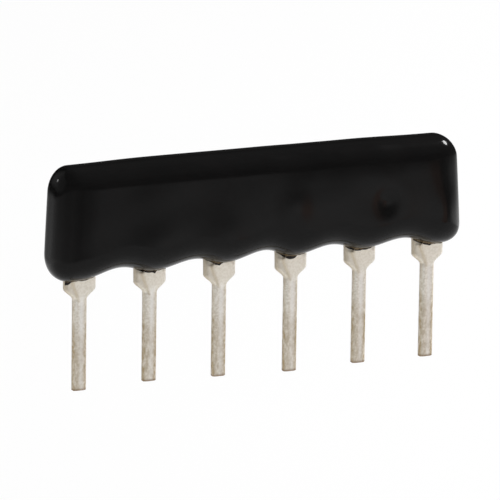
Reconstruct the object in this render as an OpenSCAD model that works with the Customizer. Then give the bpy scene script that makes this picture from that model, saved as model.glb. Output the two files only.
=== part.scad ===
// Single-in-line resistor network with a dipped epoxy coat.
// X runs along the row of leads, -Y is the face that the films are on, +Z is up.
// The origin lies in the middle of the row, where the legs begin below their tapers.

/* [Leads] */
// Number of leads in the row
lead_count = 6; // [4:1:8]
// Distance from one lead to the next
lead_pitch = 2.54; // [2.4:0.02:3]
// Thickness of the sheet that the leads are stamped from
sheet_t = 0.25; // [0.2:0.01:0.3]
// Width of the leg that goes through the board
leg_w = 0.47; // [0.4:0.01:0.6]
// Length of the leg, from the end of the taper to the tip
leg_len = 3.15; // [2.5:0.05:6]
// Width of the shoulder above the leg
shoulder_w = 1.13; // [1:0.01:1.3]
// Height of the taper from the leg to the shoulder
taper_h = 0.33; // [0.25:0.01:0.5]
// Height of the straight shoulder, from the taper to the roots of the tines
shoulder_h = 0.45; // [0.3:0.01:0.7]
// Radius of the rounded edges of the sheet
sheet_edge_r = 0.1; // [0.05:0.01:0.12]
// How far the middle of the shoulder is pressed forwards
shoulder_dish = 0.09; // [0.04:0.01:0.12]
// How far the outer edges of the shoulder are bent back
shoulder_wing = 0.1; // [0.04:0.01:0.12]

/* [Clip] */
// Width of the middle tine
tine_w = 0.46; // [0.3:0.01:0.5]
// Width of the slot between two tines
slot_w = 0.08; // [0.05:0.01:0.1]
// Height over which the tines bend apart
fork_h = 0.6; // [0.6:0.02:0.8]
// Height of the straight grip of the tines
grip_h = 0.9; // [0.6:0.02:1]
// Height of the flared end of each tine
flare_h = 0.2; // [0.1:0.01:0.25]
// How far the ends of the tines flare outwards
flare_out = 0.06; // [0.02:0.01:0.1]

/* [Substrate] */
// Thickness of the ceramic plate
substrate_t = 0.635; // [0.5:0.005:0.8]
// Height of the ceramic plate
substrate_h = 2.54; // [2.4:0.02:3.4]
// Length of the plate past the middle of the outer leads
substrate_end = 0.55; // [0.55:0.01:0.8]

/* [Films] */
// Thickness of the printed conductor
conductor_t = 0.02; // [0.01:0.005:0.03]
// Thickness of the resistor print above the conductor
resistor_t = 0.02; // [0.01:0.005:0.03]
// Thickness of the glass above the resistor print
glaze_t = 0.02; // [0.01:0.005:0.03]
// Width of a solder pad
pad_w = 1; // [0.95:0.01:1.05]
// Height of the bus along the top of the plate
bus_h = 0.3; // [0.2:0.01:0.35]
// Width of a resistor print
resistor_w = 0.8; // [0.5:0.02:0.9]
// Overlap of a resistor on its conductors
resistor_lap = 0.12; // [0.06:0.01:0.14]
// Width of the trim cut
trim_w = 0.05; // [0.03:0.01:0.08]

/* [Solder] */
// Width of the solder fillet beside a tine
solder_foot = 0.2; // [0.1:0.01:0.22]
// Thickness of the solder over a tine
solder_skin = 0.05; // [0.03:0.01:0.08]

/* [Coating] */
// Thickness of the coat over each face of the plate
coat_face = 0.68; // [0.6:0.01:0.9]
// Thickness of the coat over the ends of the plate
coat_end = 0.4; // [0.35:0.01:0.6]
// Thickness of the coat over the top edge of the plate
coat_top = 0.51; // [0.4:0.01:0.7]
// How far the lobes reach below the roots of the tines
lobe_drop = 0.06; // [0.02:0.01:0.12]
// Height of the arches between the lobes
arch_h = 0.27; // [0.15:0.01:0.36]
// Height of the rounding of the top edges
coat_top_r = 0.65; // [0.4:0.01:0.8]
// Width of the rounding of the top edges, as a share of half the thickness
coat_crown = 0.95; // [0.5:0.01:0.96]
// Rounding of the bottom edges, as a share of half the thickness
coat_belly = 0.95; // [0.5:0.01:0.96]
// Length of the rounding at each end
coat_end_r = 0.65; // [0.5:0.01:0.8]
// Half of the thickness that is left at the very ends
end_nose = 0.13; // [0.08:0.01:0.4]
// How far the top comes down at each end
end_inset_top = 0.9; // [0.5:0.01:1.1]
// How far the underside comes up at each end
end_inset_bottom = 0.56; // [0.2:0.01:0.7]
// How much longer the coat is at the bottom than at the top, at each end
coat_spread = 0.12; // [0:0.01:0.15]
// Swell of the coat over each clip
clip_swell = 0.03; // [0:0.01:0.08]

/* [Hidden] */

// Small distances that keep neighbours apart
seat_gap = 0.03;
film_edge = 0.15;
pad_reach = 0.25;
glaze_edge = 0.05;
eps = 0.02;

// Levels
slot_z = taper_h + shoulder_h;
grip_z = slot_z + fork_h;
flare_z = grip_z + grip_h;
tine_top = flare_z + flare_h;
substrate_z = grip_z + seat_gap;
substrate_top = substrate_z + substrate_h;
pad_z = substrate_z + glaze_edge;
pad_top = tine_top + pad_reach;
bus_top = substrate_top - film_edge;
bus_z = bus_top - bus_h;
coat_z = slot_z - lobe_drop;
coat_top_z = substrate_top + coat_top;

// Depths, as distances from the middle plane
face_y = substrate_t / 2;
pad_y = face_y + conductor_t;
resistor_y = pad_y + resistor_t;
glaze_y = resistor_y + glaze_t;
coat_y = face_y + coat_face;

// Lengths
row_half = (lead_count - 1) * lead_pitch / 2;
substrate_half = row_half + substrate_end;
coat_half = substrate_half + coat_end;

function lead_x(k) = (k - 1) * lead_pitch - row_half;
function mix(a, b, u) = a + (b - a) * u;
function clamp(u) = max(0, min(1, u));
function smooth(u) = u * u * (3 - 2 * u);

// Sheet metal of a lead

// The fold of the shoulder starts this far below the taper
fold_drop = 0.12;
// Rows of points along the taper, the bend and the straight parts
taper_rows = 5;
fork_rows = 6;
blade_z = concat(
    [-leg_len, -fold_drop],
    [for (i = [0:taper_rows]) taper_h * i / taper_rows],
    [slot_z]
);
blade_rows = len(blade_z);
tine_z = concat(
    [for (i = [1:fork_rows]) slot_z + fork_h * i / fork_rows],
    [flare_z, tine_top]
);
lead_z = concat(blade_z, tine_z);
lead_rows = len(lead_z);

// Thickness of the rounded edge, as a share of the sheet's, and its place as a share of the radius
edge_place = [0, 0.3, 1];
edge_share = [0.35, 0.75, 1];
edge_r = min(sheet_edge_r, 0.35 * leg_w);

// Half the width of the lead and of its middle strip at a height
function taper_share(z) = mix(clamp(z / taper_h), smooth(clamp(z / taper_h)), 0.6);
function half_w(z) = mix(leg_w, shoulder_w, taper_share(z)) / 2;
function fold_share(z) = clamp((z + fold_drop) / (slot_z + fold_drop));
function strip_w(z) = mix(leg_w / 8, tine_w / 2, fold_share(z));
function slot_edge(z) = strip_w(z) + mix(leg_w / 12, slot_w, fold_share(z));

// The columns of points run across the lead: three for the left edge, the two sides of each slot,
// and three for the right edge
column_count = 10;
slot_columns = [3, 5];
function is_middle(j) = j > slot_columns[0] && j <= slot_columns[1];
function column_x(z, j) =
    j < 3 ? -half_w(z) + edge_r * edge_place[j] :
    j == 3 ? -slot_edge(z) :
    j == 4 ? -strip_w(z) :
    -column_x(z, column_count - 1 - j);
function column_share(j) = j < 3 ? edge_share[j] : j > 6 ? edge_share[column_count - 1 - j] : 1;

// Depth of the sheet's middle: pressed forwards in the middle and back at the wings, then on
// both sides of the plate, with a flare at the tine's end
function blade_y(z, j) =
    is_middle(j) ? -shoulder_dish * fold_share(z) :
    shoulder_wing * fold_share(z) * clamp((abs(column_x(z, j)) - slot_edge(z)) / (half_w(z) - slot_edge(z)));
function grip_y(j) = is_middle(j) ? -pad_y - sheet_t / 2 : face_y + sheet_t / 2;
function flare_share(z) = clamp((z - flare_z) / flare_h);
function fork_share(z) = clamp((z - slot_z) / fork_h);
function lead_y(z, j) =
    mix(blade_y(z, j), grip_y(j), smooth(fork_share(z))) + sign(grip_y(j)) * flare_out * flare_share(z);
// Slope of a tine against the upright
function lead_slope(z, j) =
    let (u = fork_share(z))
    atan((grip_y(j) - blade_y(slot_z, j)) * 6 * u * (1 - u) / fork_h);

// A point on the front (side -1) or the back (side 1) of the sheet
function lead_point(i, j, side) =
    let (z = lead_z[i], a = lead_slope(z, j), t = side * column_share(j) * sheet_t / 2)
    [column_x(z, j), lead_y(z, j) + t * cos(a), z - t * sin(a)];

// The sheet is a grid of cells, open at the slots
function has_cell(i, j) =
    i >= 0 && i < lead_rows - 1 && j >= 0 && j < column_count - 1 &&
    !(i >= blade_rows - 1 && (j == slot_columns[0] || j == slot_columns[1]));
function front(i, j) = i * column_count + j;
function back(i, j) = (lead_rows + i) * column_count + j;
function halves(a, b, c, d) = [[a, b, c], [a, c, d]];
lead_faces = [
    for (i = [0:lead_rows - 2], j = [0:column_count - 2]) if (has_cell(i, j)) each concat(
        halves(front(i, j), front(i + 1, j), front(i + 1, j + 1), front(i, j + 1)),
        halves(back(i, j), back(i, j + 1), back(i + 1, j + 1), back(i + 1, j)),
        has_cell(i - 1, j) ? [] : halves(front(i, j), front(i, j + 1), back(i, j + 1), back(i, j)),
        has_cell(i + 1, j) ? [] :
            halves(front(i + 1, j), back(i + 1, j), back(i + 1, j + 1), front(i + 1, j + 1)),
        has_cell(i, j - 1) ? [] : halves(front(i, j), back(i, j), back(i + 1, j), front(i + 1, j)),
        has_cell(i, j + 1) ? [] :
            halves(front(i, j + 1), front(i + 1, j + 1), back(i + 1, j + 1), back(i, j + 1))
    )
];
lead_points = [
    for (side = [-1, 1], i = [0:lead_rows - 1], j = [0:column_count - 1]) lead_point(i, j, side)
];

// Stamped and tinned clip lead: leg, taper, folded shoulder and three tines
module terminal(k) {
    color([0.80, 0.78, 0.73])
        translate([lead_x(k), 0, 0])
            polyhedron(points = lead_points, faces = lead_faces, convexity = 8);
}

// A film on the front face of the plate: an outline in X and Z, from one depth to another
module film(from_y, to_y) {
    translate([0, -from_y, 0])
        rotate([90, 0, 0])
            linear_extrude(height = to_y - from_y)
                children();
}

// Outline of a solder pad
module pad_outline(k) {
    translate([lead_x(k) - pad_w / 2, pad_z])
        square([pad_w, pad_top - pad_z]);
}

// Alumina plate, snapped square
module substrate() {
    color([0.93, 0.92, 0.88])
        translate([-substrate_half, -face_y, substrate_z])
            cube([2 * substrate_half, substrate_t, substrate_h]);
}

// Fired silver film: the first pad, its riser and the bus along the top
module bus_conductor() {
    bus_x = lead_x(1) - pad_w / 2;
    bus_end = lead_x(lead_count) + pad_w / 2;
    color([0.76, 0.76, 0.74])
        film(face_y, pad_y) {
            pad_outline(1);
            translate([bus_x, pad_top - eps])
                square([pad_w / 2, bus_top - pad_top + eps]);
            translate([bus_x, bus_z])
                square([bus_end - bus_x, bus_h]);
        }
}

// Fired silver film under one lead
module pad(k) {
    color([0.76, 0.76, 0.74])
        film(face_y, pad_y)
            pad_outline(k);
}

// Thick-film resistor from the pad of lead k + 1 up to the bus, with its trim cut
module resistor(k) {
    trim_z = (pad_top + bus_z) / 2;
    trim_reach = resistor_w * 0.4;
    left = lead_x(k + 1) - resistor_w / 2;
    color([0.20, 0.19, 0.18])
        difference() {
            union() {
                film(face_y, resistor_y)
                    translate([left, pad_top])
                        square([resistor_w, bus_z - pad_top]);
                film(pad_y, resistor_y)
                    translate([left, pad_top - resistor_lap])
                        square([resistor_w, bus_z - pad_top + 2 * resistor_lap]);
            }
            film(face_y - eps, resistor_y + eps)
                translate([left - eps, trim_z])
                    square([trim_reach + eps, trim_w]);
        }
}

// Outline of the glass over the resistors and the bus
module glaze_outline() {
    z = pad_top - resistor_lap - glaze_edge;
    translate([-substrate_half + glaze_edge, z])
        square([2 * (substrate_half - glaze_edge), substrate_top - glaze_edge - z]);
}

// Fired glass, poured round the prints that it covers
module overglaze() {
    color([0.30, 0.48, 0.40])
        difference() {
            film(face_y, glaze_y)
                glaze_outline();
            bus_conductor();
            for (k = [2:lead_count]) pad(k);
            for (k = [1:lead_count - 1]) resistor(k);
        }
}

// Solder round the middle tine of a lead, with a hollow fillet down to the pad on both sides
module solder(k) {
    steps = 6;
    half = tine_w / 2;
    tine_y = pad_y + sheet_t;
    fillet = [
        for (i = [0:steps])
            let (a = 90 * i / steps)
            [half + solder_foot - (solder_foot - solder_skin) * sin(a), -pad_y - sheet_t * (1 - cos(a))]
    ];
    right = concat([[half, -pad_y]], fillet, [[half, -tine_y - solder_skin]]);
    left = [for (i = [len(right) - 1:-1:0]) [-right[i].x, right[i].y]];
    color([0.70, 0.70, 0.70])
        translate([lead_x(k), 0, grip_z + glaze_edge])
            linear_extrude(height = grip_h - glaze_edge)
                polygon(concat([[half, -tine_y]], right, left, [[-half, -tine_y]]));
}

// Form of the dipped coat

// Points of a section: along each round corner, and up each face
corner_steps = 5;
face_steps = 6;
end_steps = 6;
steps_per_pitch = 10;

// Stations along the coat: [place, share of the end rounding]
straight_half = coat_half - coat_end_r;
straight_steps = ceil(2 * straight_half / lead_pitch * steps_per_pitch);
coat_stations = concat(
    [for (i = [0:end_steps - 1])
        let (a = 90 - 90 * i / end_steps) [-straight_half - coat_end_r * sin(a), 1 - cos(a)]],
    [for (i = [0:straight_steps]) [mix(-straight_half, straight_half, i / straight_steps), 0]],
    [for (i = [1:end_steps])
        let (a = 90 * i / end_steps) [straight_half + coat_end_r * sin(a), 1 - cos(a)]]
);

// Underside of the coat: a lobe at each lead and an arch between two leads
function coat_bottom(x) =
    abs(x) > row_half ? coat_z : coat_z + arch_h * (1 - cos(360 * (x + row_half) / lead_pitch)) / 2;

// The coat swells where it runs over a clip
function nearest_lead(x) = min([for (k = [1:lead_count]) abs(x - lead_x(k))]);
function swell(x, z) =
    let (
        middle = (grip_z + tine_top) / 2,
        u = nearest_lead(x) / (shoulder_w / 2),
        v = (z - middle) / (grip_h + fork_h) * 2
    )
    clip_swell * exp(-u * u - v * v);

// A point of the coat, with its ends spread towards the bottom
function coat_point(x, y, z) =
    let (mid = (coat_top_z + coat_z) / 2, high = coat_top_z - coat_z)
    [x * (1 + 2 * coat_spread * (mid - z) / high / coat_half), y, z];

// Section of the coat at a station, from the front face over the top and back below
function coat_section(x, share) =
    let (
        depth = mix(coat_y, end_nose, share),
        shrink = depth / coat_y,
        bottom = coat_bottom(x) + end_inset_bottom * share,
        top = coat_top_z - end_inset_top * share,
        top_r = coat_top_r * shrink,
        crown = coat_crown * depth,
        bottom_r = coat_belly * depth,
        low = bottom + bottom_r,
        high = top - top_r,
        face = [for (i = [1:face_steps - 1]) mix(low, high, i / face_steps)]
    )
    concat(
        [for (i = [0:corner_steps]) let (a = 90 * i / corner_steps)
            coat_point(x, -(depth - bottom_r) - bottom_r * sin(a), low - bottom_r * cos(a))],
        [for (z = face) coat_point(x, -depth - swell(x, z), z)],
        [for (i = [0:corner_steps]) let (a = 90 * i / corner_steps)
            coat_point(x, -(depth - crown) - crown * cos(a), high + top_r * sin(a))],
        [for (i = [0:corner_steps]) let (a = 90 * i / corner_steps)
            coat_point(x, depth - crown + crown * sin(a), high + top_r * cos(a))],
        [for (i = [face_steps - 2:-1:0]) coat_point(x, depth + swell(x, face[i]), face[i])],
        [for (i = [0:corner_steps]) let (a = 90 * i / corner_steps)
            coat_point(x, depth - bottom_r + bottom_r * cos(a), low - bottom_r * sin(a))]
    );

module coat_form() {
    rings = [for (s = coat_stations) coat_section(s[0], s[1])];
    n = len(rings[0]);
    last = len(rings) - 1;
    sides = [
        for (i = [0:last - 1], j = [0:n - 1])
            let (a = i * n + j, b = i * n + (j + 1) % n)
            each halves(a, a + n, b + n, b)
    ];
    start_cap = [for (j = [0:n - 1]) j];
    end_cap = [for (j = [n - 1:-1:0]) last * n + j];
    polyhedron(points = [for (r = rings) each r], faces = concat(sides, [start_cap, end_cap]), convexity = 6);
}

// Dipped epoxy, hardened round everything but the legs and the shoulders
module coating() {
    color([0.10, 0.10, 0.11])
        difference() {
            coat_form();
            substrate();
            film(face_y, glaze_y)
                glaze_outline();
            for (k = [1:lead_count]) {
                film(face_y, pad_y)
                    pad_outline(k);
                solder(k);
                terminal(k);
            }
        }
}

coating();
substrate();
bus_conductor();
overglaze();
for (k = [1:lead_count]) terminal(k);
for (k = [1:lead_count]) solder(k);
for (k = [2:lead_count]) pad(k);
for (k = [1:lead_count - 1]) resistor(k);
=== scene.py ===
import math

import bpy
import numpy as np
from mathutils import Matrix, Vector


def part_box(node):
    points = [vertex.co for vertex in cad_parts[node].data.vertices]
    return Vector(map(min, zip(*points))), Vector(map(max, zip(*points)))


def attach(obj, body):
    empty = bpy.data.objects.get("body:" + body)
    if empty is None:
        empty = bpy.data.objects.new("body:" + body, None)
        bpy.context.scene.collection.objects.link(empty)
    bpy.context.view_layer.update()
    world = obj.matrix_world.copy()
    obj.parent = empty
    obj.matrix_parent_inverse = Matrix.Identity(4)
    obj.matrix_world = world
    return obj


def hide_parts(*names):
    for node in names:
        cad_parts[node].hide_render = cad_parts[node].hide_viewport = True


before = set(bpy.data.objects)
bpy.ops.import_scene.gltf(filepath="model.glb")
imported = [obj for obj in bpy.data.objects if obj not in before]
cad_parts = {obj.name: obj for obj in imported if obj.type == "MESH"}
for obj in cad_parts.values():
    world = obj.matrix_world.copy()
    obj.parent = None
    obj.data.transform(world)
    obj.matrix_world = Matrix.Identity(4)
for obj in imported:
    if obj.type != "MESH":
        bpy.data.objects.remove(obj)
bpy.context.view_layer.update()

# Single-in-line resistor network: a black dipped coat over a row of flat tinned clip leads.
# Lengths are in millimetres, as in the part's source, and become metres when a mesh is made.
MM = 0.001

# Row of leads
LEAD_COUNT = 6
LEAD_PITCH = 2.54
ROW_HALF = (LEAD_COUNT - 1) * LEAD_PITCH / 2
LEAD_X = [k * LEAD_PITCH - ROW_HALF for k in range(LEAD_COUNT)]
# How far each lead stands out of line, along the row and in length
LEAD_SHIFT = [0.044, 0.01, -0.02, 0.038, 0.033, 0.011]
LEAD_LONGER = [-0.055, -0.117, -0.025, 0.067, 0.036, 0.067]

# Sheet of a lead: a narrow leg that tapers out to a shoulder
SHEET_T = 0.25
LEG_W = 0.465
LEG_LEN = -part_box("terminal_1")[0].z / MM
SHOULDER_W = 1.09
# Height of the taper, and how far below the origin it starts
TAPER_H = 0.38
TAPER_DROP = 0.03
# Rounding of its edges, which the tin makes wider on the leg than on the shoulder
EDGE_R = 0.1
LEG_EDGE_R = 0.15
# How far that rounding goes: 0 would leave the edge square, 1 would make it sharp
LEG_ROUND = 0.75
SHOULDER_ROUND = 0.88
# Rounding of the cut tip, and the share of it by which the tip draws in
TIP_R = 0.03
TIP_DRAW = 0.6
# Dish of the shoulder, and its left and right wing, of which only the left one shows a crease
SHOULDER_DISH = 0.07
SHOULDER_WING = (0.06, 0.035)
CREASE_X = 0.42
# Width of the painted shade along the crease
CREASE_W = 0.09
# The folds start this far down the leg, and this far from its middle
FOLD_DROP = 0.12
FOLD_START = LEG_W / 12

# Clip above the shoulder: slots part three tines, which fork, grip the plate and flare
SLOT_Z = 0.78
SLOT_W = 0.08
TINE_W = 0.46
# Height over which a fold turns in to its slot
FOLD_TURN_H = 0.15
FORK_H = 0.6
GRIP_H = 0.9
FLARE_Z = SLOT_Z + FORK_H + GRIP_H
FLARE_H = 0.2
FLARE_OUT = 0.06
# The pads in front and the bare face behind that the tines grip, as distances from the plate's middle
PAD_Y = 0.3375
FACE_Y = 0.3175

# Coat: distance of its faces from the middle, level of its lobes and of its top, and half its length
COAT_Y = 0.9975
COAT_Z = 0.72
COAT_TOP = 4.46
COAT_HALF = 7.329
# It sits this far to one side of the row
COAT_SHIFT = -0.036
# Lower edge where the dip ran unevenly: each lobe and arch in turn, along the row and in height
LOWER_EDGE = [(-6.35, 0.64), (-4.86, 0.94), (-3.7, 0.73), (-2.23, 0.975), (-1.14, 0.76), (0.27, 1.035),
              (1.33, 0.77), (2.67, 1.0), (3.88, 0.77), (5.26, 0.98), (6.6, 0.69)]
# Top edge in the same way
TOP_EDGE = [(-6.6, 4.45), (-3.9, 4.49), (0, 4.476), (3.6, 4.462), (6.5, 4.414)]
# Height of the rounded top, and the shares of the depth that round over the top and below
COAT_TOP_R = 0.65
COAT_CROWN = 0.95
COAT_BELLY = 0.95
# At the ends the faces round off over a longer way than the top and the underside, gently at first, and
# down to a blunt nose
COAT_END_R = 0.65
FACE_END_R = 1.4
FACE_END_POWER = 2.6
END_NOSE = 0.13
# How far the left and the right end draw in above and below, and spread downwards
END_INSET_TOP = (0.96, 0.69)
END_INSET_BOTTOM = (0.74, 0.5)
COAT_SPREAD = (0.09, 0.12)
# Swells over the clips and at the right end, and a dimple: place along the row, height, how far each stands
# out, and its half width and half height
SWELLS = [(-3.97, 1.7, 0.062, 0.8, 0.8), (-1.5, 1.85, 0.068, 0.8, 0.8), (1.02, 2.6, 0.05, 0.55, 0.6),
          (4.42, 2.42, -0.07, 0.36, 0.4), (7.0, 2.0, 0.2, 0.5, 0.8)]
# The faces bow a little over their height and along the row
FACE_BOW = 0.012
ROW_BOW = 0.05
# Right of the middle they lean in below the crown: the share of their depth at the top, the stretch of the
# row over which it comes in, and the height from which it grows
CROWN_LEAN = 0.08
LEAN_X = (0.3, 1.6)
LEAN_Z = 3.3
# Slow waves that the dip left: length along the row, length in height, and phase, and the height of each
DIP_WAVES = [(2.9, 1.9, 0.4), (-2.3, 2.6, 1.9), (4.1, -1.5, 3.1), (1.7, 3.4, 5.2)]
DIP_WAVE_H = 0.0018

# Runs of epoxy at the edge of the coat on each shoulder, whose dark rim paints the shadow under the coat:
# place across the lead from -1 to 1, and how far it runs down
RUNS = [
    [(-1, 0.15), (-0.8, 0.13), (-0.62, 0.03), (-0.3, 0.01), (0.2, 0.03), (0.6, 0.01), (1, 0.01)],
    [(-1, 0.03), (-0.8, 0.06), (-0.3, 0.07), (0.05, 0.06), (0.2, 0.1), (0.3, 0.02), (0.8, 0.01), (1, 0.05)],
    [(-1, 0.04), (-0.8, 0.02), (-0.65, 0.05), (-0.4, 0.09), (-0.15, 0.1), (-0.02, 0.03), (0.2, 0), (1, 0)],
    [(-1, 0.01), (-0.8, 0.05), (-0.5, 0.11), (-0.1, 0.13), (0.15, 0.09), (0.28, 0.02), (0.7, 0.03),
     (1, 0.02)],
    [(-1, 0.03), (-0.8, 0.07), (-0.3, 0.08), (0, 0.05), (0.3, 0.06), (0.6, 0.04), (0.75, 0.01), (1, 0.01)],
    [(-1, 0.02), (-0.85, 0.05), (-0.4, 0.06), (0, 0.07), (0.15, 0.02), (0.4, 0.01), (0.7, 0.02), (1, 0.01)],
]
# Share of the shoulder's width that they cover, their thickness, and how far they reach up into the coat
RUN_REACH = 0.98
RUN_SKIN = 0.012
RUN_OVERLAP = 0.08
# Share of the thickness, squared, that is left at the rim, and the rim's fine ripple: height and two rates
RUN_RIM = 0.05
RIPPLE_H = 0.008
RIPPLE_RATES = (23, 41)


def mix(a, b, share):
    """The value that lies a share of the way from a to b."""
    return a + (b - a) * share


def smooth(share):
    """A share from 0 to 1 that starts and ends gently."""
    share = np.clip(share, 0, 1)
    return share * share * (3 - 2 * share)


def colour(code):
    """Linear colour of an sRGB hex code."""
    parts = [int(code[i:i + 2], 16) / 255 for i in (1, 3, 5)]
    return [p / 12.92 if p <= 0.04045 else ((p + 0.055) / 1.055) ** 2.4 for p in parts] + [1.0]


def noise_scale(size):
    """Scale of a noise whose patches have a real size in millimetres."""
    return 1 / (size * MM)


def add_node(tree, kind, inputs=None, **settings):
    """Adds a node with its settings. Each input takes a value, a socket, or the first output of a node."""
    node = tree.nodes.new("ShaderNode" + kind)
    for name, value in settings.items():
        setattr(node, name, value)
    for name, value in (inputs or {}).items():
        if isinstance(value, bpy.types.Node):
            value = next(output for output in value.outputs if output.enabled)
        if isinstance(value, bpy.types.NodeSocket):
            tree.links.new(value, node.inputs[name])
        else:
            node.inputs[name].default_value = value
    return node


def empty_tree(owner):
    """The node tree of a material or a world, with nothing in it yet."""
    owner.use_nodes = True
    owner.node_tree.nodes.clear()
    return owner.node_tree


def new_material(name):
    """A material and its empty node tree."""
    material = bpy.data.materials.new(name)
    return material, empty_tree(material)


# Materials

# Height of the fine relief of a surface
RELIEF_H = 0.01 * MM


def dipped_epoxy():
    """Black epoxy, dipped and cured: deep black, wet gloss, faint flow marks and a little haze."""
    material, tree = new_material("dipped_black_epoxy")
    place = add_node(tree, "TexCoord").outputs["Object"]
    # Flow marks about 1.2 mm long
    flow = add_node(tree, "TexNoise", {"Vector": place, "Scale": noise_scale(1.2), "Detail": 2.0})
    # Dust and pinholes of about 0.02 mm, drawn at 0.09 mm so that they show
    grain = add_node(tree, "TexNoise", {"Vector": place, "Scale": noise_scale(0.09), "Detail": 1.0})
    tone = add_node(tree, "Mix", {
        "Factor": flow, "A": colour("#131313"), "B": colour("#191818")}, data_type="RGBA")
    haze = add_node(tree, "MapRange", {
        "Value": flow, "From Min": 0.3, "From Max": 0.7, "To Min": 0.07, "To Max": 0.14})
    relief = add_node(tree, "Bump", {"Height": grain, "Strength": 0.06, "Distance": RELIEF_H})
    shader = add_node(tree, "BsdfPrincipled", {
        "Base Color": tone, "Roughness": haze, "IOR": 1.45, "Specular IOR Level": 0.12, "Normal": relief})
    add_node(tree, "OutputMaterial", {"Surface": shader})
    return material


def tinned_bronze():
    """Stamped bronze sheet, hot tinned: pale warm satin, grainy, brown where it wears and at its cut tip,
    with a painted highlight down each leg and painted shade at the leg's edges, on the left wing and in the
    crease.
    """
    material, tree = new_material("tinned_bronze_sheet")
    place = add_node(tree, "TexCoord").outputs["Object"]
    # Place across the lead from -1 to 1, distance from its tip in millimetres, and nearness to the crease
    across = add_node(tree, "Attribute", attribute_name="across").outputs["Fac"]
    from_tip = add_node(tree, "Attribute", attribute_name="from_tip").outputs["Fac"]
    crease = add_node(tree, "Attribute", attribute_name="crease").outputs["Fac"]
    # 1 on the leg, and 0 on the shoulder
    on_leg = add_node(tree, "MapRange", {"Value": from_tip, "From Min": 3.3, "From Max": 3.0})
    # Crystals of about 0.03 mm, drawn at 0.07 mm so that they show, and fainter on the shoulder
    grain = add_node(tree, "TexNoise", {"Vector": place, "Scale": noise_scale(0.07), "Detail": 2.0})
    spots = add_node(tree, "MapRange", {"Value": grain, "From Min": 0.35, "From Max": 0.65})
    faint = add_node(tree, "MapRange", {"Value": spots, "To Min": 0.22, "To Max": 0.78})
    spots = add_node(tree, "Mix", {"Factor": on_leg, "A": faint, "B": spots})
    tin = add_node(tree, "Mix", {
        "Factor": spots, "A": colour("#e3dbcc"), "B": colour("#faf5eb")}, data_type="RGBA")
    # Painted highlight: a pale band right of the leg's middle, where its rounded front reflects the light
    from_highlight_band = add_node(tree, "Math", {0: across, 1: 0.12}, operation="SUBTRACT")
    from_highlight_band = add_node(tree, "Math", {0: from_highlight_band}, operation="ABSOLUTE")
    painted_highlight_band = add_node(tree, "MapRange", {
        "Value": from_highlight_band, "From Min": 0.0, "From Max": 0.6, "To Min": 0.65, "To Max": 0.0},
        interpolation_type="SMOOTHSTEP")
    painted_highlight_band = add_node(tree, "Math", {0: painted_highlight_band, 1: on_leg}, operation="MULTIPLY")
    tin = add_node(tree, "Mix", {"Factor": painted_highlight_band, "A": tin, "B": colour("#fdfbf7")}, data_type="RGBA")
    # Thin tin shows brown on the lower leg and a little over the whole shoulder; along the leg's edges, on
    # the left wing and in the crease the brown is painted shade as well
    low = add_node(tree, "MapRange", {
        "Value": from_tip, "From Min": 2.6, "From Max": 1.4, "To Min": 0.0, "To Max": 0.75},
        interpolation_type="SMOOTHSTEP")
    # Painted shade at the leg's edges, where it rounds away from the light, with some worn tin
    left_edge_wear_and_shade = add_node(tree, "MapRange", {
        "Value": across, "From Min": -0.75, "From Max": -1.0, "To Min": 0.0, "To Max": 0.7})
    right_edge_shade = add_node(tree, "MapRange", {
        "Value": across, "From Min": 0.45, "From Max": 0.95, "To Min": 0.0, "To Max": 0.9})
    # The leg's side: painted shade at its right edge, less under the painted highlight band
    leg_side_shade = add_node(tree, "Math", {0: painted_highlight_band, 1: -0.4, 2: right_edge_shade}, operation="MULTIPLY_ADD")
    # On the shoulder: even wear, and painted shade on the left wing, which turns away from the light
    wing = add_node(tree, "MapRange", {
        "Value": across, "From Min": -0.1, "From Max": -0.5, "To Min": 0.12, "To Max": 0.42})
    side = add_node(tree, "Mix", {"Factor": on_leg, "A": wing, "B": leg_side_shade})
    thin_tin_and_shade = add_node(tree, "Math", {0: low, 1: left_edge_wear_and_shade}, operation="ADD")
    thin_tin_and_shade = add_node(tree, "Math", {0: thin_tin_and_shade, 1: side}, operation="ADD")
    # Painted shade in the crease, heaviest along its middle
    thin_tin_and_shade = add_node(tree, "Math", {0: crease, 1: 0.8, 2: thin_tin_and_shade}, operation="MULTIPLY_ADD")
    # On the leg this brown and painted shade come in clouds of about 0.11 mm, drawn out along it, and on the
    # shoulder they are even
    drawn = add_node(tree, "VectorMath", {0: place, 1: (1, 1, 0.45)}, operation="MULTIPLY")
    cloud = add_node(tree, "TexNoise", {
        "Vector": drawn, "Scale": noise_scale(0.11), "Detail": 4.0, "Roughness": 0.6})
    patchy = add_node(tree, "MapRange", {
        "Value": cloud, "From Min": 0.38, "From Max": 0.64, "To Min": 0.3, "To Max": 0.84})
    patchy = add_node(tree, "Mix", {"Factor": on_leg, "A": 0.5, "B": patchy})
    worn_and_shaded = add_node(tree, "Math", {0: thin_tin_and_shade, 1: patchy}, operation="MULTIPLY")
    tone = add_node(tree, "Mix", {"Factor": worn_and_shaded, "A": tin, "B": colour("#b09b78")}, data_type="RGBA")
    # Bare bronze at the cut tip
    cut = add_node(tree, "MapRange", {
        "Value": from_tip, "From Min": 0.1, "From Max": 0.02, "To Min": 0.0, "To Max": 0.8})
    tone = add_node(tree, "Mix", {"Factor": cut, "A": tone, "B": colour("#7d5f3c")}, data_type="RGBA")
    satin = add_node(tree, "MapRange", {
        "Value": cloud, "From Min": 0.3, "From Max": 0.7, "To Min": 0.3, "To Max": 0.44})
    relief = add_node(tree, "Bump", {"Height": grain, "Strength": 0.3, "Distance": RELIEF_H})
    shader = add_node(tree, "BsdfPrincipled", {
        "Base Color": tone, "Metallic": 0.4, "Roughness": satin, "Normal": relief})
    add_node(tree, "OutputMaterial", {"Surface": shader})
    return material


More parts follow.
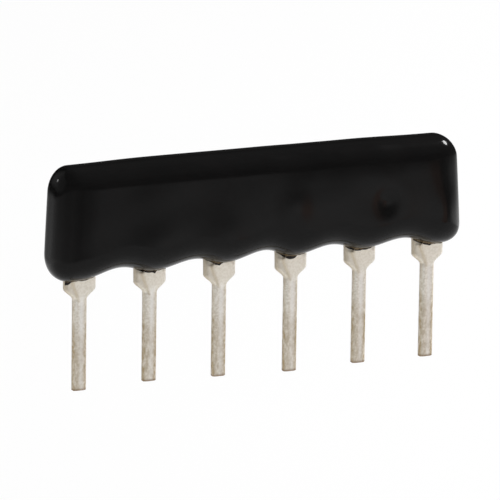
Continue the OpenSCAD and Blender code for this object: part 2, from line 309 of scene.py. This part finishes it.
def thin_epoxy_and_shadow():
    """Thin ragged run of the epoxy on the metal: golden brown by the coat, and almost black towards its rim,
    which is painted shadow in the gap under the coat's edge.
    """
    material, tree = new_material("thin_epoxy_and_painted_shadow")
    place = add_node(tree, "TexCoord").outputs["Object"]
    # Blotches of about 0.12 mm
    blotch = add_node(tree, "TexNoise", {"Vector": place, "Scale": noise_scale(0.12), "Detail": 2.0})
    # Way from the coat's edge, at 0, to the rim, at 1
    down = add_node(tree, "Attribute", attribute_name="down").outputs["Fac"]
    # Towards the rim it turns near black: painted shadow in the gap under the coat's edge
    uneven = add_node(tree, "Math", {0: blotch, 1: -1.6, 2: down}, operation="MULTIPLY_ADD")
    rim = add_node(tree, "MapRange", {"Value": uneven, "From Min": -0.85, "From Max": -0.4})
    tone = add_node(tree, "Mix", {
        "Factor": rim, "A": colour("#7d6b50"), "B": colour("#1b1613")}, data_type="RGBA")
    shader = add_node(tree, "BsdfPrincipled", {
        "Base Color": tone, "Roughness": 0.25, "IOR": 1.45, "Specular IOR Level": 0.2})
    add_node(tree, "OutputMaterial", {"Surface": shader})
    return material


def fired_material(name, dark, light, grain_size, roughness, metallic=0.0):
    """A fired or soldered surface: two near tones in grains of the given size, with a fine relief."""
    material, tree = new_material(name)
    place = add_node(tree, "TexCoord").outputs["Object"]
    grain = add_node(tree, "TexNoise", {"Vector": place, "Scale": noise_scale(grain_size), "Detail": 2.0})
    tone = add_node(tree, "Mix", {"Factor": grain, "A": colour(dark), "B": colour(light)}, data_type="RGBA")
    relief = add_node(tree, "Bump", {"Height": grain, "Strength": 0.2, "Distance": RELIEF_H})
    shader = add_node(tree, "BsdfPrincipled", {
        "Base Color": tone, "Metallic": metallic, "Roughness": roughness, "Normal": relief})
    add_node(tree, "OutputMaterial", {"Surface": shader})
    return material


# Meshes

# Faces that meet at more than this angle keep a sharp edge
SHARP_ANGLE = math.radians(50)


def mesh_object(name, points, faces, material):
    """An object in the scene from points in millimetres."""
    mesh = bpy.data.meshes.new(name)
    mesh.from_pydata((np.asarray(points) * MM).tolist(), [], faces)
    mesh.materials.append(material)
    piece = bpy.data.objects.new(name, mesh)
    bpy.context.scene.collection.objects.link(piece)
    return piece


def part_piece(name, points, faces, marks, material, slot):
    """A smooth piece of the part that rides on it, with values marked on its points for its material."""
    piece = mesh_object(name, points, faces, material)
    mesh = piece.data
    mesh.validate()
    mesh.shade_smooth()
    mesh.set_sharp_from_angle(angle=SHARP_ANGLE)
    for mark, values in marks.items():
        mesh.attributes.new(mark, "FLOAT", "POINT").data.foreach_set("value", values)
    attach(piece, "root")
    return piece


# Coat

def edge_height(x, edge):
    """Height of an edge of the coat that waves from one of its given points to the next."""
    edge_x, edge_z = zip(*edge)
    k = int(np.clip(np.searchsorted(edge_x, x) - 1, 0, len(edge_x) - 2))
    share = np.clip((x - edge_x[k]) / (edge_x[k + 1] - edge_x[k]), 0, 1)
    return mix(edge_z[k], edge_z[k + 1], (1 - math.cos(math.pi * share)) / 2)


def coat_swell(x, z):
    """How far the swells stand out at a place."""
    swell = 0
    for at_x, at_z, stand_out, width, height in SWELLS:
        swell = swell + stand_out * np.exp(-((x - at_x) / width) ** 2 - ((z - at_z) / height) ** 2)
    return swell


def coat_waves(x, z):
    """How far the slow waves stand out at a place."""
    phases = [2 * math.pi * (x / along + z / up) + phase for along, up, phase in DIP_WAVES]
    return DIP_WAVE_H * sum(np.sin(p) for p in phases)


def coat_section(x):
    """Points of a section of the coat, from the bottom of its front, over the top and back below."""
    corner_steps, face_steps, flat_steps = 12, 40, 6
    end = int(x > 0)
    face_turn = np.clip((abs(x) - COAT_HALF + FACE_END_R) / FACE_END_R, 0, 1)
    bowed = COAT_Y - ROW_BOW * (x / COAT_HALF) ** 2
    depth = mix(bowed, END_NOSE, 1 - (1 - face_turn ** FACE_END_POWER) ** (1 / FACE_END_POWER))
    end_turn = np.clip((abs(x) - COAT_HALF + COAT_END_R) / COAT_END_R, 0, 1)
    inset = 1 - math.sqrt(1 - end_turn ** 2)
    bottom = edge_height(x, LOWER_EDGE) + END_INSET_BOTTOM[end] * inset
    top = edge_height(x, TOP_EDGE) - END_INSET_TOP[end] * inset
    top_r = COAT_TOP_R * depth / COAT_Y
    crown = COAT_CROWN * depth
    bottom_r = COAT_BELLY * depth
    low, high = bottom + bottom_r, top - top_r
    turn = np.linspace(0, math.pi / 2, corner_steps + 1)
    across = np.linspace(-1, 1, flat_steps + 1)[1:-1]
    level = np.arange(1, face_steps) / face_steps
    face = mix(low, high, level)
    bulge = 4 * level * (1 - level) * FACE_BOW * depth / COAT_Y
    y = np.concatenate([
        -(depth - bottom_r) - bottom_r * np.sin(turn),
        -depth - bulge,
        -(depth - crown) - crown * np.cos(turn),
        (depth - crown) * across,
        depth - crown + crown * np.sin(turn),
        depth + bulge[::-1],
        depth - bottom_r + bottom_r * np.cos(turn),
        -(depth - bottom_r) * across])
    z = np.concatenate([
        low - bottom_r * np.cos(turn),
        face,
        high + top_r * np.sin(turn),
        np.full(flat_steps - 1, top),
        high + top_r * np.cos(turn),
        face[::-1],
        low - bottom_r * np.sin(turn),
        np.full(flat_steps - 1, bottom)])
    # The swells are on the front and the waves on both faces. Both fade where the section turns over the top
    # and below, and at the ends.
    on_front = np.clip(-y / depth, 0, 1) ** 2
    outward = (y / depth) * abs(y / depth)
    lean = CROWN_LEAN * smooth((x - LEAN_X[0]) / (LEAN_X[1] - LEAN_X[0]))
    y = y * (1 - lean * np.clip((z - LEAN_Z) / (COAT_TOP - LEAN_Z), 0, 1) ** 2)
    y = y + (1 - face_turn) * (outward * coat_waves(x, z) - on_front * coat_swell(x, z))
    spread = 1 + 2 * COAT_SPREAD[end] * ((COAT_TOP + COAT_Z) / 2 - z) / (COAT_TOP - COAT_Z) / COAT_HALF
    return np.column_stack([x * spread + COAT_SHIFT, y, z])


def coat_mesh():
    """The coat, lofted through its sections from the left end to the right one."""
    end_steps, straight_steps = 48, 300
    straight_half = COAT_HALF - FACE_END_R
    straight = np.linspace(-straight_half, straight_half, straight_steps + 1)
    turn = np.linspace(0, math.pi / 2, end_steps + 1)[1:]
    ends = straight_half + FACE_END_R * np.sin(turn)
    rings = [coat_section(x) for x in np.concatenate([-ends[::-1], straight, ends])]
    count = len(rings[0])
    faces = []
    for i in range(len(rings) - 1):
        for j in range(count):
            a, b = i * count + j, i * count + (j + 1) % count
            faces.append((a, a + count, b + count, b))
    last = (len(rings) - 1) * count
    faces.append(tuple(range(count)))
    faces.append(tuple(range(last + count - 1, last - 1, -1)))
    return np.concatenate(rings), faces, {}


# Leads

def lead_half_w(z):
    """Half the width of a lead at a height: leg, taper or shoulder."""
    return mix(LEG_W, SHOULDER_W, smooth((z + TAPER_DROP) / TAPER_H)) / 2


def fold_lines(z):
    """How far the shoulder is folded at a height, and where the middle strip ends and the wings begin."""
    fold = np.clip((z + FOLD_DROP) / (SLOT_Z + FOLD_DROP), 0, 1)
    gap = mix(FOLD_START, SLOT_W, fold)
    crease = mix(FOLD_START, CREASE_X, fold)
    # Inside the coat the crease turns in to the slot between two tines
    strip = mix(crease - gap / 2, TINE_W / 2, smooth((z - SLOT_Z) / FOLD_TURN_H + 1))
    return fold, strip, strip + gap


def blade_form(x, z):
    """Depth of the middle of the folded sheet, and half its thickness."""
    fold, strip, slot = fold_lines(z)
    half_w = lead_half_w(z)
    rim = np.clip((half_w - abs(x)) / mix(LEG_EDGE_R, EDGE_R, fold), 0, 1)
    creased = smooth((-x - strip) / (slot - strip))
    winged = np.clip((abs(x) - slot) / (half_w - slot), 0, 1)
    left, right = SHOULDER_WING
    bent = np.where(x < 0, SHOULDER_DISH * creased + left * winged, right * winged)
    depth = fold * (bent - SHOULDER_DISH)
    rounding = mix(LEG_ROUND, SHOULDER_ROUND, fold) * (1 - rim) ** 2
    return depth, np.sqrt(1 - rounding) * SHEET_T / 2


def lead_rows(leg_len):
    """Heights of the rows of points of a lead, from its round tip up to the ends of its tines."""
    tip_rows = 6
    # Leg, shoulder, fork, grip and flare
    stretch_rows = (40, 36, 16, 8, 4)
    levels = [-leg_len + TIP_R, -FOLD_DROP, SLOT_Z, SLOT_Z + FORK_H, FLARE_Z, FLARE_Z + FLARE_H]
    rows = [-leg_len + TIP_R * (1 - np.cos(np.linspace(0, math.pi / 2, tip_rows)))]
    for low, high, count in zip(levels, levels[1:], stretch_rows):
        rows.append(np.linspace(low, high, count)[1:])
    return np.concatenate(rows)


def sheet_faces(rows, columns, slot_row, slot_cells):
    """Faces of a sheet of cells with a front, a back and walls round every edge. The slots start at a row."""

    def has_cell(i, j):
        inside = 0 <= i < rows - 1 and 0 <= j < columns - 1
        return inside and not (i >= slot_row and j in slot_cells)

    def front(i, j):
        return i * columns + j

    def back(i, j):
        return (rows + i) * columns + j

    faces = []
    for i in range(rows - 1):
        for j in range(columns - 1):
            if not has_cell(i, j):
                continue
            faces.append((front(i, j), front(i, j + 1), front(i + 1, j + 1), front(i + 1, j)))
            faces.append((back(i, j), back(i + 1, j), back(i + 1, j + 1), back(i, j + 1)))
            if not has_cell(i - 1, j):
                faces.append((front(i, j), back(i, j), back(i, j + 1), front(i, j + 1)))
            if not has_cell(i + 1, j):
                faces.append((front(i + 1, j), front(i + 1, j + 1), back(i + 1, j + 1), back(i + 1, j)))
            if not has_cell(i, j - 1):
                faces.append((front(i, j), front(i + 1, j), back(i + 1, j), back(i, j)))
            if not has_cell(i, j + 1):
                faces.append((front(i, j + 1), back(i, j + 1), back(i + 1, j + 1), front(i + 1, j + 1)))
    return faces


def lead_mesh(lead_x, leg_len):
    """The folded sheet of one lead: its leg, taper, shoulder and three tines."""
    edge_steps, wing_steps, fold_steps, strip_steps = 5, 6, 5, 8
    z_rows = lead_rows(leg_len)
    slot_row = int(np.argmin(abs(z_rows - SLOT_Z)))
    z = z_rows[:, None]
    tip = np.clip((z + leg_len) / TIP_R, 0, 1)
    tip_cut = TIP_DRAW * TIP_R * (1 - np.sqrt(1 - (1 - tip) ** 2))
    half_w = lead_half_w(z) - tip_cut
    fold, strip, slot = fold_lines(z)
    # Columns of points across the lead
    edge = np.linspace(0, 1, edge_steps + 1)[None, :]
    wing = np.linspace(0, 1, wing_steps + 1)[None, 1:]
    bend = np.linspace(0, 1, fold_steps + 1)[None, 1:]
    middle = np.linspace(-1, 1, strip_steps + 1)[None, 1:-1]
    left = np.hstack([
        -half_w + EDGE_R * edge,
        mix(-half_w + EDGE_R, -slot, wing),
        mix(-slot, -strip, bend)])
    x = np.hstack([left, strip * middle, -left[:, ::-1]])
    columns = x.shape[1]
    side = left.shape[1]
    blade, thick = blade_form(x, z)
    thick = thick - tip_cut
    # The middle tine goes in front of the plate and the outer two behind it
    in_middle = np.zeros(columns, bool)
    in_middle[side - 1:columns - side + 1] = True
    grip = np.where(in_middle, -PAD_Y - SHEET_T / 2, FACE_Y + SHEET_T / 2)[None, :]
    fork = np.clip((z - SLOT_Z) / FORK_H, 0, 1)
    flare = np.clip((z - FLARE_Z) / FLARE_H, 0, 1)
    y = mix(blade, grip, smooth(fork)) + np.sign(grip) * FLARE_OUT * flare
    # The sheet keeps its thickness square to the slope of the fork
    slope = np.arctan((grip - blade[slot_row]) * 6 * fork * (1 - fork) / FORK_H)
    sheets = []
    for face in (-1, 1):
        t = face * thick
        sheets.append(np.stack([x + lead_x, y + t * np.cos(slope), z - t * np.sin(slope)], -1))
    points = np.concatenate([s.reshape(-1, 3) for s in sheets])
    across = np.tile((x / half_w).ravel(), 2)
    from_tip = points[:, 2] + leg_len
    # Below the folds no place is near the crease
    crease_gap = np.where(fold > 0, abs(x + (strip + slot) / 2), 1.0)
    crease = np.tile(np.clip(1 - crease_gap / CREASE_W, 0, 1).ravel(), 2)
    slot_cells = set(range(side - 1 - fold_steps, side - 1))
    slot_cells |= set(range(columns - side, columns - side + fold_steps))
    faces = sheet_faces(len(z_rows), columns, slot_row, slot_cells)
    # Points inside the slots belong to no face and are left out
    used = sorted({v for f in faces for v in f})
    index = {v: n for n, v in enumerate(used)}
    marks = {"across": across[used], "from_tip": from_tip[used], "crease": crease[used]}
    return points[used], [tuple(index[v] for v in f) for f in faces], marks


# Runs of epoxy

def run_mesh(lead_x, run):
    """A thin run of epoxy that lies on the front of a shoulder, from inside the coat to its ragged edge."""
    steps, rows = 60, 6
    place, drop = np.array(run).T
    across = np.linspace(-RUN_REACH, RUN_REACH, steps + 1)
    slow, fast = RIPPLE_RATES
    ripple = RIPPLE_H * np.sin(across * slow + lead_x) * np.sin(across * fast)
    ragged = np.interp(across, place, drop) + ripple
    front, back, down = [], [], []
    for a, length in zip(across, ragged):
        x = a * SHOULDER_W / 2
        edge_z = edge_height(lead_x + x - COAT_SHIFT, LOWER_EDGE)
        z = np.linspace(edge_z + RUN_OVERLAP, edge_z - max(length, 0), rows)
        middle, thick = blade_form(np.full(rows, x), z)
        lift = RUN_SKIN * np.sqrt(np.linspace(1, RUN_RIM, rows))
        front += list(zip(np.full(rows, lead_x + x), middle - thick - lift, z))
        back += list(zip(np.full(rows, lead_x + x), middle - thick + RUN_SKIN, z))
        down += list((edge_z - z) / max(length, RUN_SKIN))
    count = len(front)
    faces = []
    for i in range(steps):
        for j in range(rows - 1):
            a, b = i * rows + j, (i + 1) * rows + j
            faces.append((a, a + 1, b + 1, b))
            faces.append((count + a, count + b, count + b + 1, count + a + 1))
    rim = [i * rows for i in range(steps)] + [steps * rows + j for j in range(rows - 1)]
    rim += [i * rows + rows - 1 for i in range(steps, 0, -1)] + list(range(rows - 1, 0, -1))
    faces += [(a, b, count + b, count + a) for a, b in zip(rim, rim[1:] + rim[:1])]
    return front + back, faces, {"down": down + down}


# Pieces of the part

coat = part_piece("epoxy_coat", *coat_mesh(), dipped_epoxy(), "epoxy_coat")
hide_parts("coating")
tin = tinned_bronze()
for k, lead_x in enumerate(LEAD_X, 1):
    shape = lead_mesh(lead_x + LEAD_SHIFT[k - 1], LEG_LEN + LEAD_LONGER[k - 1])
    lead = part_piece(f"clip_lead_{k}", *shape, tin, "tinned_lead")
    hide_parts(f"terminal_{k}")
brown = thin_epoxy_and_shadow()
for k, run in enumerate(RUNS, 1):
    shape = run_mesh(LEAD_X[k - 1] + LEAD_SHIFT[k - 1], run)
    part_piece(f"epoxy_run_{k}", *shape, brown, "epoxy_coat")

# Pieces inside the coat keep their solids
INNER = {
    # White ceramic, dry and matt
    "substrate": fired_material("fired_alumina", "#e6e4dc", "#f3f1ea", grain_size=0.05, roughness=0.6),
    # Grey metal film, dull from firing
    "bus_conductor": fired_material(
        "fired_silver_film", "#b4b3ae", "#d0cfca", grain_size=0.04, roughness=0.45, metallic=1.0),
    # Green glass film, glossy
    "overglaze": fired_material("green_overglaze_glass", "#2f5a46", "#3c6b55", grain_size=0.2, roughness=0.2),
    # Brownish black film, matt
    "resistor": fired_material(
        "ruthenium_resistor_film", "#241f1c", "#332d28", grain_size=0.04, roughness=0.6),
    # Grey metal, satin where it set
    "solder": fired_material(
        "tin_lead_solder", "#9d9d9b", "#bcbcb8", grain_size=0.08, roughness=0.35, metallic=1.0),
}
INNER["pad"] = INNER["bus_conductor"]
for name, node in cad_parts.items():
    kind = name.rsplit("_", 1)[0] if name[-1].isdigit() else name
    if kind in INNER:
        node.data.materials.clear()
        node.data.materials.append(INNER[kind])

# Studio

FLOOR_Z = -28.0
FLOOR_HALF = 1500.0
FLOOR_CORNERS = [(-1, -1), (1, -1), (1, 1), (-1, 1)]
FLOOR_GLOW = 0.86
# Brightness of the wall, from behind on the left round the front to behind on the right,
# and where something warm stands in front of it
WALL_START = 0.7
WALL_STEPS = [(-150, -110, 0.7), (-90, -40, -0.85), (-30, -8, -0.37), (-6, 2, 0.2), (5, 29, 0.8),
              (39.5, 44.5, -0.85), (50, 72, 1.7), (100, 130, -0.65), (156, 178, -0.7)]
WARM_STEPS = [(31, 35, 1.0), (42, 50, -1.0)]
# Heights where the floor's white ends on the wall, and where the wall starts to fade out
WALL_WHITE_END = -19.0
WALL_FADE_START = -21.0
# Brightness of the card in the same way, and the height over which it comes in
CARD_STEPS = [(-172, -150, 0.3), (-105, -80, -0.3)]
CARD_RISE = 15.0
# Elevations, in degrees, over which the world's white ends and its ceiling comes in
WHITE_END = (6, 11)
CEILING_START = (15, 60)
CEILING_LEVEL = 0.12


def white_floor():
    """White card. It looks white to the camera and in reflections, and still takes light and shadow."""
    material, tree = new_material("white_floor_card")
    rays = add_node(tree, "LightPath").outputs
    seen = add_node(tree, "Math", {0: rays["Is Camera Ray"], 1: rays["Is Glossy Ray"]}, operation="MAXIMUM")
    seen = add_node(tree, "Math", {0: seen, 1: rays["Is Transmission Ray"]}, operation="MAXIMUM")
    glow = add_node(tree, "Math", {0: seen, 1: FLOOR_GLOW}, operation="MULTIPLY")
    # Where it is seen, the paper is darker, to leave room for the glow
    tone = add_node(tree, "Mix", {
        "Factor": seen, "A": colour("#f3f3f3"), "B": colour("#6c6c6c")}, data_type="RGBA")
    paper = add_node(tree, "BsdfDiffuse", {"Color": tone})
    light = add_node(tree, "Emission", {"Strength": glow})
    both = add_node(tree, "AddShader", {0: paper, 1: light})
    add_node(tree, "OutputMaterial", {"Surface": both})
    return material


def set_place(tree):
    """Angle round the set, 0 at the front and rising to the right, and height."""
    place = add_node(tree, "SeparateXYZ", {0: add_node(tree, "TexCoord").outputs["Object"]})
    forward = add_node(tree, "Math", {0: place.outputs["Y"], 1: -1.0}, operation="MULTIPLY")
    angle = add_node(tree, "Math", {0: place.outputs["X"], 1: forward}, operation="ARCTAN2")
    return angle, place.outputs["Z"]


def round_steps(tree, angle, level, steps):
    """A level that changes in soft steps round the set, each from one angle to another in degrees."""
    for start, end, change in steps:
        step = add_node(tree, "MapRange", {
            "Value": angle, "From Min": math.radians(start), "From Max": math.radians(end),
            "To Min": 0.0, "To Max": change}, interpolation_type="SMOOTHSTEP")
        level = add_node(tree, "Math", {0: step, 1: level}, operation="ADD")
    return level


def grey_wall():
    """Room round the set, as the gloss shows it: light on both sides, and dark behind the camera."""
    material, tree = new_material("grey_room")
    angle, height = set_place(tree)
    shade = round_steps(tree, angle, WALL_START, WALL_STEPS)
    # Up the wall, from the white of the floor to the dark above the horizon
    low = add_node(tree, "MapRange", {
        "Value": height, "From Min": FLOOR_Z * MM, "From Max": WALL_WHITE_END * MM,
        "To Min": 1.0, "To Max": 0.0}, interpolation_type="SMOOTHSTEP")
    fade = add_node(tree, "MapRange", {
        "Value": height, "From Min": WALL_FADE_START * MM, "From Max": 0.0,
        "To Min": 1.0, "To Max": 0.02}, interpolation_type="SMOOTHSTEP")
    shade = add_node(tree, "Mix", {"Factor": low, "A": shade, "B": 1.0})
    level = add_node(tree, "Math", {0: shade, 1: fade}, operation="MULTIPLY")
    warm = round_steps(tree, angle, 0.0, WARM_STEPS)
    tint = add_node(tree, "Mix", {
        "Factor": warm, "A": colour("#ffffff"), "B": colour("#ffcdb9")}, data_type="RGBA")
    light = add_node(tree, "Emission", {"Color": tint, "Strength": level})
    add_node(tree, "OutputMaterial", {"Surface": light})
    return material


def grey_card():
    """Grey card behind the left end, soft at its rim."""
    material, tree = new_material("grey_card")
    angle, height = set_place(tree)
    level = round_steps(tree, angle, 0.0, CARD_STEPS)
    rise = add_node(tree, "MapRange", {
        "Value": height, "From Min": 0.0, "From Max": CARD_RISE * MM}, interpolation_type="SMOOTHSTEP")
    level = add_node(tree, "Math", {0: level, 1: rise}, operation="MULTIPLY")
    light = add_node(tree, "Emission", {"Strength": level})
    add_node(tree, "OutputMaterial", {"Surface": light})
    return material


def studio_world():
    """World that is white up to a little above the horizon, with a dim ceiling above."""
    world = bpy.data.worlds.new("studio")
    tree = empty_tree(world)
    direction = add_node(tree, "TexCoord").outputs["Generated"]
    height = add_node(tree, "SeparateXYZ", {0: direction}).outputs["Z"]
    white_low, white_high = [math.sin(math.radians(e)) for e in WHITE_END]
    white = add_node(tree, "MapRange", {
        "Value": height, "From Min": white_low, "From Max": white_high,
        "To Min": 1.0, "To Max": 0.0}, interpolation_type="SMOOTHSTEP")
    ceiling_low, ceiling_high = [math.sin(math.radians(e)) for e in CEILING_START]
    ceiling = add_node(tree, "MapRange", {
        "Value": height, "From Min": ceiling_low, "From Max": ceiling_high,
        "To Min": 0.0, "To Max": CEILING_LEVEL}, interpolation_type="SMOOTHSTEP")
    level = add_node(tree, "Math", {0: white, 1: ceiling}, operation="ADD")
    sky = add_node(tree, "Background", {"Strength": level})
    add_node(tree, "OutputWorld", {"Surface": sky})
    return world


def stage_piece(name, points, faces, material):
    """A piece of the set, which isn't part of the object."""
    piece = mesh_object(name, points, faces, material)
    return piece


def curved_screen(name, material, radius, start, end, low, high):
    """Part of an upright tube round the set. Only reflections see it, so any view keeps the white floor."""
    sides = 96
    turns = np.radians(np.linspace(start, end, sides + 1))
    screen = stage_piece(
        name, [(math.sin(a) * radius, -math.cos(a) * radius, z) for a in turns for z in (low, high)],
        [(2 * i, 2 * i + 1, 2 * i + 3, 2 * i + 2) for i in range(sides)], material)
    screen.visible_camera = False
    screen.visible_diffuse = False
    screen.visible_shadow = False
    screen.visible_transmission = False


def toward(azimuth, elevation):
    """Direction from the part: azimuth 0 is out of the front, 90 is to the right."""
    a, e = math.radians(azimuth), math.radians(elevation)
    return Vector((math.sin(a) * math.cos(e), -math.cos(a) * math.cos(e), math.sin(e)))


def soft_lamp(name, place, size, watts):
    """A round or oval lamp that shines at the part."""
    lamp = bpy.data.lights.new(name, "AREA")
    lamp.shape = "ELLIPSE"
    lamp.size, lamp.size_y = size[0] * MM, size[1] * MM
    lamp.energy = watts
    holder = bpy.data.objects.new(name, lamp)
    holder.location = place * MM
    holder.rotation_euler = (-holder.location).to_track_quat("-Z", "Y").to_euler()
    bpy.context.scene.collection.objects.link(holder)
    return holder


floor_points = [(x * FLOOR_HALF, y * FLOOR_HALF, FLOOR_Z) for x, y in FLOOR_CORNERS]
stage_piece("floor", floor_points, [(0, 1, 2, 3)], white_floor())
curved_screen("studio_wall", grey_wall(), radius=80.0, start=-180, end=180, low=FLOOR_Z, high=30.0)
curved_screen("left_card", grey_card(), radius=76.0, start=-175, end=-75, low=0.0, high=60.0)
bpy.context.scene.world = studio_world()
soft_lamp("right_softbox", toward(104, 46) * 400, size=(140, 110), watts=1.4)
# A small lamp close behind the left end gives the glint there
soft_lamp("left_glint", toward(-143, 17) * 72, size=(6, 6), watts=0.0005)
# Light from the front and the left that no gloss shows
soft_lamp("front_fill", toward(10, 25) * 400, size=(200, 200), watts=0.42).visible_glossy = False
soft_lamp("left_fill", toward(-80, 15) * 400, size=(200, 200), watts=0.3).visible_glossy = False

# Camera, at the photograph's viewing angle: angles in degrees, and the size of the image in pixels

TARGET = Vector((-0.1815, 0, 1.046))
AZIMUTH = -25.25
ELEVATION = 14.16
ROLL = -0.849
DISTANCE = 198.8
PIXELS_PER_MM = 30.34
IMAGE = 500
NEAREST = 1.0
back = toward(AZIMUTH, ELEVATION)
right = Vector((0, 0, 1)).cross(back).normalized()
up = back.cross(right)
roll = math.radians(ROLL)
image_x = right * math.cos(roll) - up * math.sin(roll)
image_y = right * math.sin(roll) + up * math.cos(roll)
turn = Matrix((image_x, image_y, back)).transposed()
camera_data = bpy.data.cameras.new("camera")
camera_data.angle = 2 * math.atan(IMAGE / 2 / (PIXELS_PER_MM * DISTANCE))
camera_data.clip_start = NEAREST * MM
camera = bpy.data.objects.new("camera", camera_data)
camera.matrix_world = Matrix.Translation((TARGET + back * DISTANCE) * MM) @ turn.to_4x4()
bpy.context.scene.collection.objects.link(camera)
bpy.context.scene.camera = camera
bpy.context.scene.view_settings.view_transform = "Standard"
